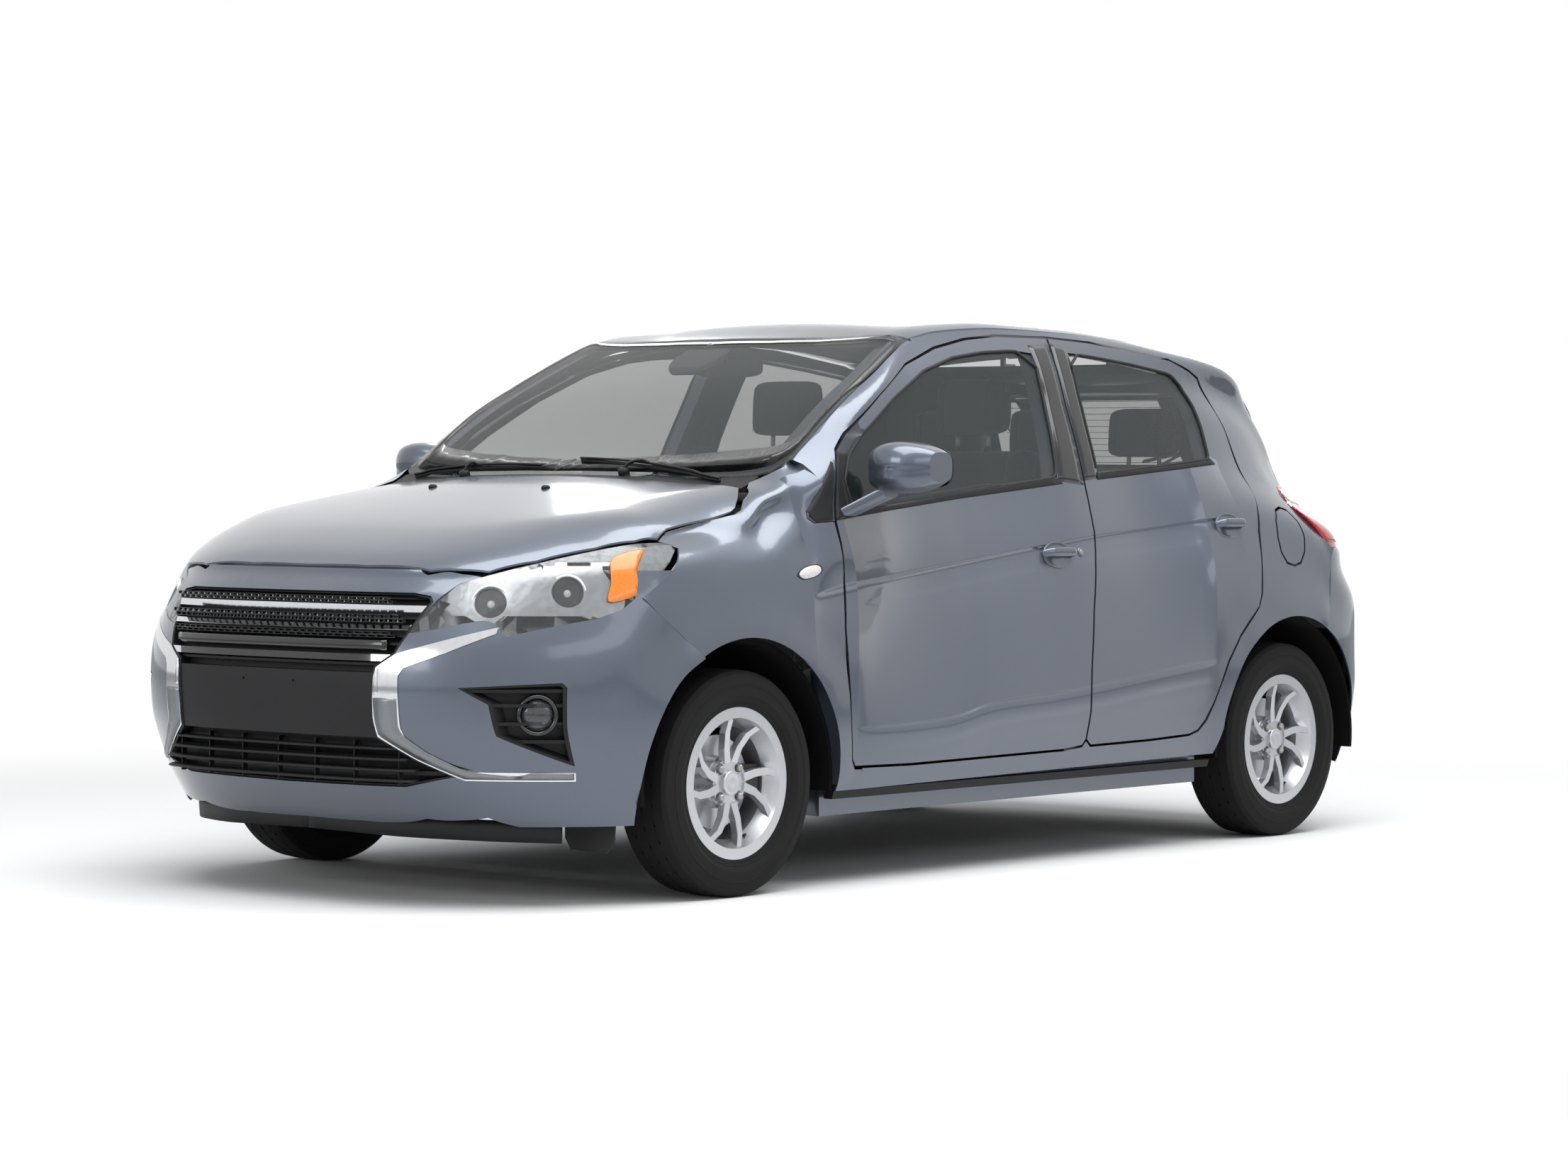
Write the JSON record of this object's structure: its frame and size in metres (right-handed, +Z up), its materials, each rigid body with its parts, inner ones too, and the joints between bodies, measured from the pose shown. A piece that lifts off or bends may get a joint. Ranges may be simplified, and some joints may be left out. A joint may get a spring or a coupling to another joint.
{
  "type": "hatchback car",
  "caption": "Small five-door hatchback car with opening doors, bonnet and tailgate, steered front wheels and a furnished cabin.",
  "frame": {"origin": "on the ground, in the middle of the car's overall length and width", "axes": "+X forwards, +Y to the car's left, +Z up"},
  "size_m": [3.8424, 1.932, 1.5099],
  "materials": {
    "alloy": "silver paint",
    "black_metal": "satin",
    "black_plastic": "grained",
    "cast": "plain",
    "chrome": "polished",
    "fabric": "woven",
    "felt": "rough",
    "glass": "light tint",
    "interior": "grained",
    "lamp_inside": "bright",
    "lens": "clear",
    "paint": "metallic blue-grey",
    "steel": "plain",
    "tail_lamp": "red and clear",
    "tyre": "tread"
  },
  "bodies": {
    "body": {"floor_pan": "paint", "side_frame_left": "paint", "side_frame_right": "paint", "roof": "paint", "windscreen": "glass", "cowl_panel": "black_plastic", "front_fender_left": "paint", "front_fender_right": "paint", "front_bumper": "paint", "grille": "black_plastic", "grille_trim": "chrome", "headlamps": "lamp_inside", "headlamp_lenses": "lens", "fog_lamps": "black_plastic", "rear_bumper": "paint", "tail_lamps": "tail_lamp", "arch_liners": "felt", "sill_trims": "black_plastic", "engine_block": "cast", "radiator_support": "black_metal", "front_subframe": "black_metal", "rear_axle": "black_metal", "fuel_tank": "black_metal", "exhaust": "steel", "dashboard": "interior", "front_seat_left": "fabric", "front_seat_right": "fabric", "rear_bench": "fabric"},
    "bonnet": {"bonnet": "paint"},
    "tailgate": {"tailgate": "paint", "tailgate_glass": "glass"},
    "fuel_flap": {"fuel_flap": "paint"},
    "door_front_left": {"door_front_left": "paint", "glass_front_left": "glass", "mirror_left": "paint"},
    "door_front_right": {"door_front_right": "paint", "glass_front_right": "glass", "mirror_right": "paint"},
    "door_rear_left": {"door_rear_left": "paint", "glass_rear_left": "glass"},
    "door_rear_right": {"door_rear_right": "paint", "glass_rear_right": "glass"},
    "steering_wheel": {"steering_wheel": "interior"},
    "knuckle_left": {"knuckle_left": "cast"},
    "knuckle_right": {"knuckle_right": "cast"},
    "wheel_front_left": {"tyre_front_left": "tyre", "rim_front_left": "alloy"},
    "wheel_front_right": {"tyre_front_right": "tyre", "rim_front_right": "alloy"},
    "wheel_rear_left": {"tyre_rear_left": "tyre", "rim_rear_left": "alloy"},
    "wheel_rear_right": {"tyre_rear_right": "tyre", "rim_rear_right": "alloy"}
  },
  "joints": [
    {"name": "bonnet_hinge", "type": "hinge", "parent": "body", "child": "bonnet", "pos_m": [0.852, 0, 1.00139], "axis": [0, -1, 0], "range_deg": [0, 50]},
    {"name": "tailgate_hinge", "type": "hinge", "parent": "body", "child": "tailgate", "pos_m": [-1.308, 0, 1.42671], "axis": [0, 1, 0], "range_deg": [0, 80]},
    {"name": "fuel_flap_hinge", "type": "hinge", "parent": "body", "child": "fuel_flap", "pos_m": [-1.305, 0.78661, 0.88], "axis": [0, 0, -1], "range_deg": [0, 85]},
    {"name": "door_front_left_hinge", "type": "hinge", "parent": "body", "child": "door_front_left", "pos_m": [0.65, 0.816, 0.565], "axis": [0, 0, -1], "range_deg": [0, 65]},
    {"name": "door_rear_left_hinge", "type": "hinge", "parent": "body", "child": "door_rear_left", "pos_m": [-0.399, 0.816, 0.565], "axis": [0, 0, -1], "range_deg": [0, 70]},
    {"name": "door_front_right_hinge", "type": "hinge", "parent": "body", "child": "door_front_right", "pos_m": [0.65, -0.816, 0.565], "axis": [0, 0, 1], "range_deg": [0, 65]},
    {"name": "door_rear_right_hinge", "type": "hinge", "parent": "body", "child": "door_rear_right", "pos_m": [-0.399, -0.816, 0.565], "axis": [0, 0, 1], "range_deg": [0, 70]},
    {"name": "steer_left", "type": "hinge", "parent": "body", "child": "knuckle_left", "pos_m": [1.0675, 0.655, 0.195], "axis": [0, -0.1551, 0.9879], "range_deg": [-33, 33]},
    {"name": "wheel_front_left_spin", "type": "hinge", "parent": "knuckle_left", "child": "wheel_front_left", "pos_m": [1.0675, 0.715, 0.284], "axis": [0, 1, 0], "continuous": true},
    {"name": "steer_right", "type": "hinge", "parent": "body", "child": "knuckle_right", "pos_m": [1.0675, -0.655, 0.195], "axis": [0, 0.1551, 0.9879], "range_deg": [-33, 33]},
    {"name": "wheel_front_right_spin", "type": "hinge", "parent": "knuckle_right", "child": "wheel_front_right", "pos_m": [1.0675, -0.715, 0.284], "axis": [0, 1, 0], "continuous": true},
    {"name": "wheel_rear_left_spin", "type": "hinge", "parent": "body", "child": "wheel_rear_left", "pos_m": [-1.3825, 0.7075, 0.284], "axis": [0, 1, 0], "continuous": true},
    {"name": "wheel_rear_right_spin", "type": "hinge", "parent": "body", "child": "wheel_rear_right", "pos_m": [-1.3825, -0.7075, 0.284], "axis": [0, 1, 0], "continuous": true},
    {"name": "steering_wheel_turn", "type": "hinge", "parent": "body", "child": "steering_wheel", "pos_m": [0.322, 0.37, 0.925], "axis": [-0.9063, 0, 0.4226], "range_deg": [-500, 500]}
  ],
  "couplings": [
    {"joint": "steer_right", "follows": "steer_left", "ratio": 1},
    {"joint": "steering_wheel_turn", "follows": "steer_left", "ratio": 15}
  ]
}
